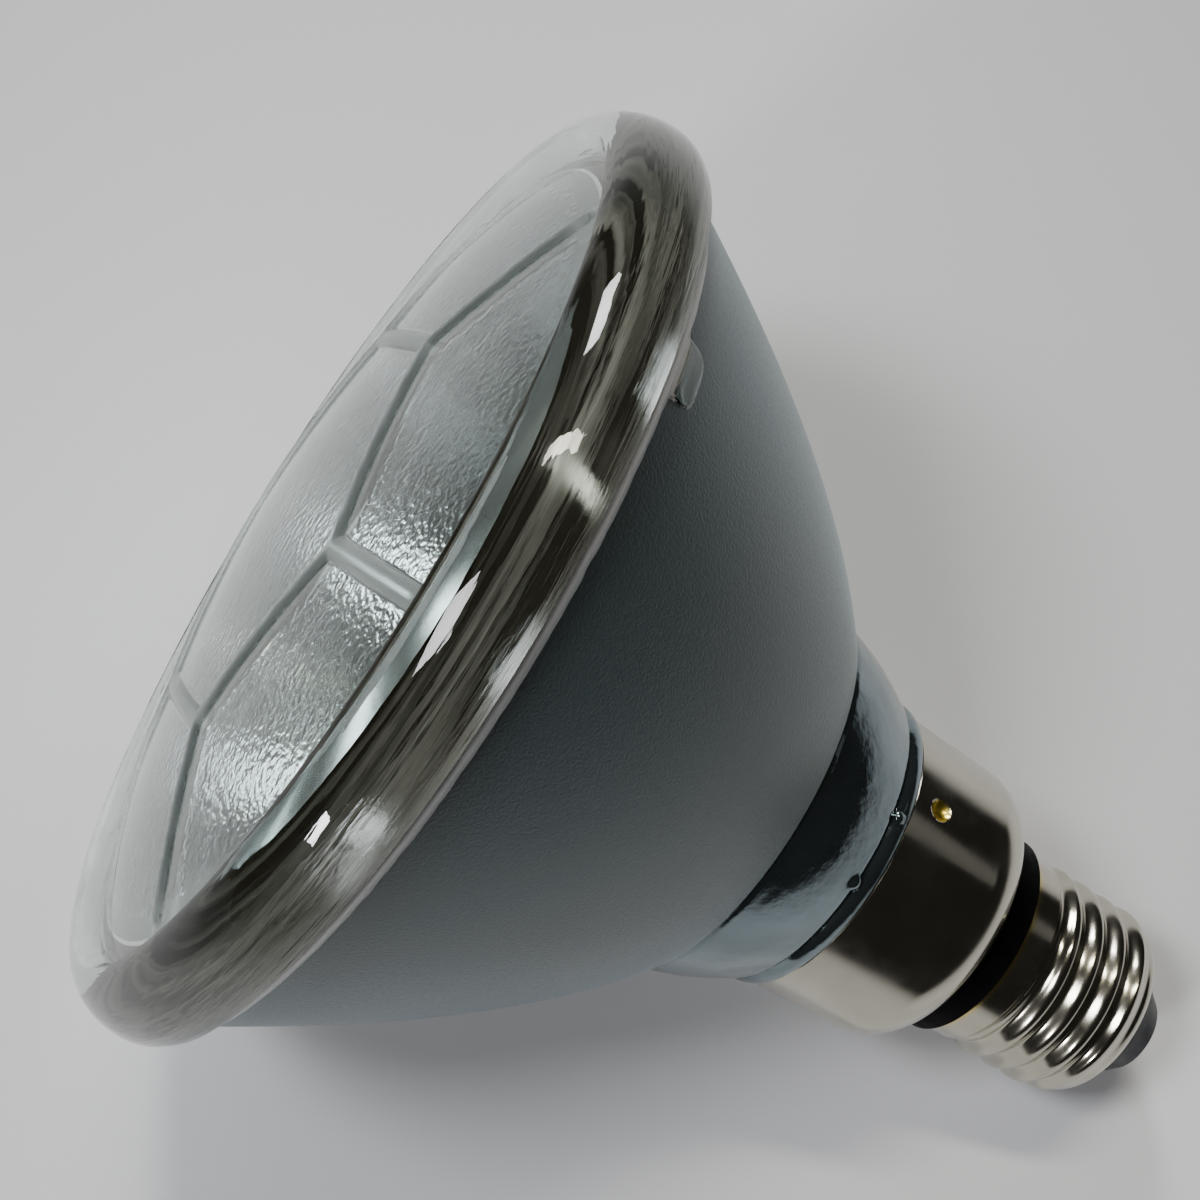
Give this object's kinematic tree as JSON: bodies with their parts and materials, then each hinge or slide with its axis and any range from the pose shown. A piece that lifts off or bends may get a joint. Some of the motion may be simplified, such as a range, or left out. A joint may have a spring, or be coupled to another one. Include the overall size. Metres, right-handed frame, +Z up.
{
  "type": "par spotlight bulb",
  "caption": "Sealed reflector spotlight bulb: domed clear glass lens with raised ribs, satin glass bowl, metal skirt and an Edison screw base.",
  "frame": {"origin": "centre of the box of the lying lamp, on the floor it lies on", "axes": "+Z up. The lamp's own axis lies in the XZ plane: the lens looks towards -X and up by the slope at which the lamp rests on its rim and the end of its screw shell, and the tip of the cap points towards +X."},
  "size_m": [0.1396, 0.122, 0.1126],
  "materials": {
    "lens_glass": "clear, stippled",
    "adhesive": "hard clear glue",
    "reflector_glass": "satin outside, mirror coated inside",
    "cement": "set cement",
    "nickel_plate": "nickel plate on brass",
    "black_insulator": "moulded",
    "dark_glass": "opaque glass",
    "brass": "bare",
    "solder": "set solder",
    "quartz": "clear",
    "tungsten": "drawn wire",
    "molybdenum": "rolled foil and wire",
    "lead_wire": "drawn wire"
  },
  "bodies": {
    "root": {"lens": "lens_glass", "rim_seal": "adhesive", "reflector": "reflector_glass", "neck_cement": "cement", "skirt": "nickel_plate", "insulating_ring": "black_insulator", "screw_shell": "nickel_plate", "base_insulator": "dark_glass", "centre_contact": "brass", "contact_solder": "solder", "shell_solder": "solder", "capsule": "quartz", "filament": "tungsten", "filament_tail_a": "tungsten", "filament_tail_b": "tungsten", "foil_a": "molybdenum", "foil_b": "molybdenum", "capsule_pin_a": "molybdenum", "capsule_pin_b": "molybdenum", "support_wire_a": "lead_wire", "support_wire_b": "lead_wire", "ferrule_a": "lead_wire", "ferrule_b": "lead_wire", "contact_lead": "lead_wire", "shell_lead": "lead_wire"}
  },
  "joints": []
}
